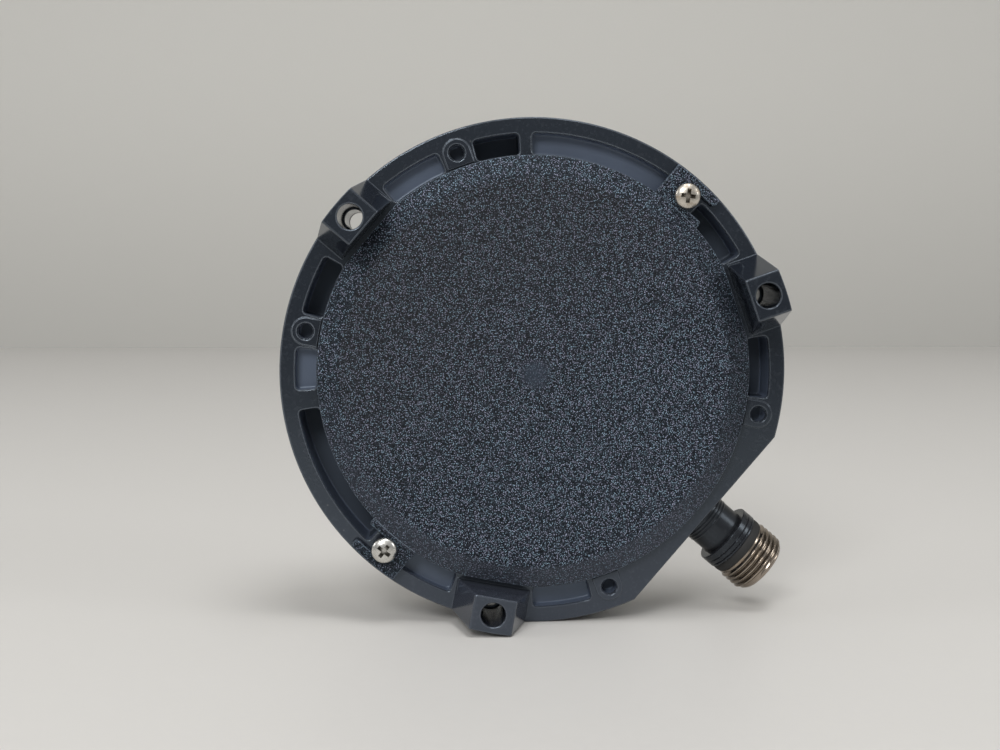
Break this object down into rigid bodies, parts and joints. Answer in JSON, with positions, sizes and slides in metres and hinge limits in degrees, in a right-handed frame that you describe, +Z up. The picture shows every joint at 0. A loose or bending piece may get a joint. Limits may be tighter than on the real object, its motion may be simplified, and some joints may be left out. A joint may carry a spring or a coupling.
{
  "type": "rotary encoder",
  "caption": "Flat round shaft encoder in a black plastic ring housing with mounting posts, a blank grained rear cover, a radial M12 connector and a flanged shaft side.",
  "frame": {"origin": "centre of the shaft's outer end face, on the shaft axis", "axes": "+Y along the shaft axis, out of the shaft end and away from the rear cover; +Z up as the encoder stands in the picture, with the connector low on the +X side"},
  "size_m": [0.092, 0.0584, 0.09],
  "materials": {
    "black_plastic": "smooth moulded black plastic, semi-gloss",
    "grained_plastic": "black plastic with a coarse moulded grain",
    "black_rubber": "matt seal rubber",
    "stainless_steel": "bright stainless steel",
    "bearing_steel": "ground bearing steel",
    "aluminium": "turned aluminium",
    "nickel_plate": "nickel-plated brass",
    "gilt_brass": "gold-plated contact",
    "spring_steel": "blackened spring steel",
    "cage_nylon": "natural nylon with steel balls",
    "board_laminate": "green solder resist",
    "chip_resin": "black moulding resin",
    "window_glass": "clear glass",
    "disc_film": "metallised film disc",
    "capacitor_can": "drawn aluminium can",
    "lead_brown": "wire insulation",
    "lead_white": "wire insulation",
    "lead_blue": "wire insulation",
    "lead_black": "wire insulation",
    "lead_grey": "wire insulation"
  },
  "bodies": {
    "housing": {"main_housing": "black_plastic", "rear_cover": "grained_plastic", "cover_seal": "black_rubber", "flange_seal": "black_rubber", "cover_screw_1": "stainless_steel", "cover_screw_2": "stainless_steel", "flange_screw_1": "stainless_steel", "flange_screw_2": "stainless_steel", "flange_screw_3": "stainless_steel", "flange_screw_4": "stainless_steel", "front_flange": "aluminium", "front_bearing_outer_ring": "bearing_steel", "rear_bearing_outer_ring": "bearing_steel", "bearing_spacer": "aluminium", "preload_washer": "spring_steel", "bearing_retaining_ring": "spring_steel", "shaft_seal": "black_rubber", "circuit_board": "board_laminate", "board_screw_1": "stainless_steel", "board_screw_2": "stainless_steel", "board_screw_3": "stainless_steel", "sensor_chip": "chip_resin", "sensor_window": "window_glass", "processor_chip": "chip_resin", "capacitor_1": "capacitor_can", "capacitor_2": "capacitor_can", "lead_header": "chip_resin", "connector_neck": "black_plastic", "connector_sleeve": "nickel_plate", "connector_seal_ring": "black_rubber", "connector_insert": "black_plastic", "connector_pin_1": "gilt_brass", "connector_pin_2": "gilt_brass", "connector_pin_3": "gilt_brass", "connector_pin_4": "gilt_brass", "connector_pin_5": "gilt_brass", "connector_lead_1": "lead_brown", "connector_lead_2": "lead_white", "connector_lead_3": "lead_blue", "connector_lead_4": "lead_black", "connector_lead_5": "lead_grey"},
    "shaft_assembly": {"shaft": "stainless_steel", "front_bearing_inner_ring": "bearing_steel", "rear_bearing_inner_ring": "bearing_steel", "shaft_retaining_ring": "spring_steel", "disc_hub": "aluminium", "code_disc": "disc_film", "disc_clamp_ring": "aluminium"},
    "front_ball_set": {"front_ball_cage": "cage_nylon"},
    "rear_ball_set": {"rear_ball_cage": "cage_nylon"}
  },
  "joints": [
    {"name": "shaft_spin", "type": "hinge", "parent": "housing", "child": "shaft_assembly", "pos_m": [0, 0, 0], "axis": [0, 1, 0], "continuous": true},
    {"name": "front_ball_roll", "type": "hinge", "parent": "housing", "child": "front_ball_set", "pos_m": [0, -0.0217, 0], "axis": [0, 1, 0], "continuous": true},
    {"name": "rear_ball_roll", "type": "hinge", "parent": "housing", "child": "rear_ball_set", "pos_m": [0, -0.029, 0], "axis": [0, 1, 0], "continuous": true}
  ],
  "couplings": [
    {"joint": "front_ball_roll", "follows": "shaft_spin", "ratio": 0.4175},
    {"joint": "rear_ball_roll", "follows": "shaft_spin", "ratio": 0.4175}
  ]
}
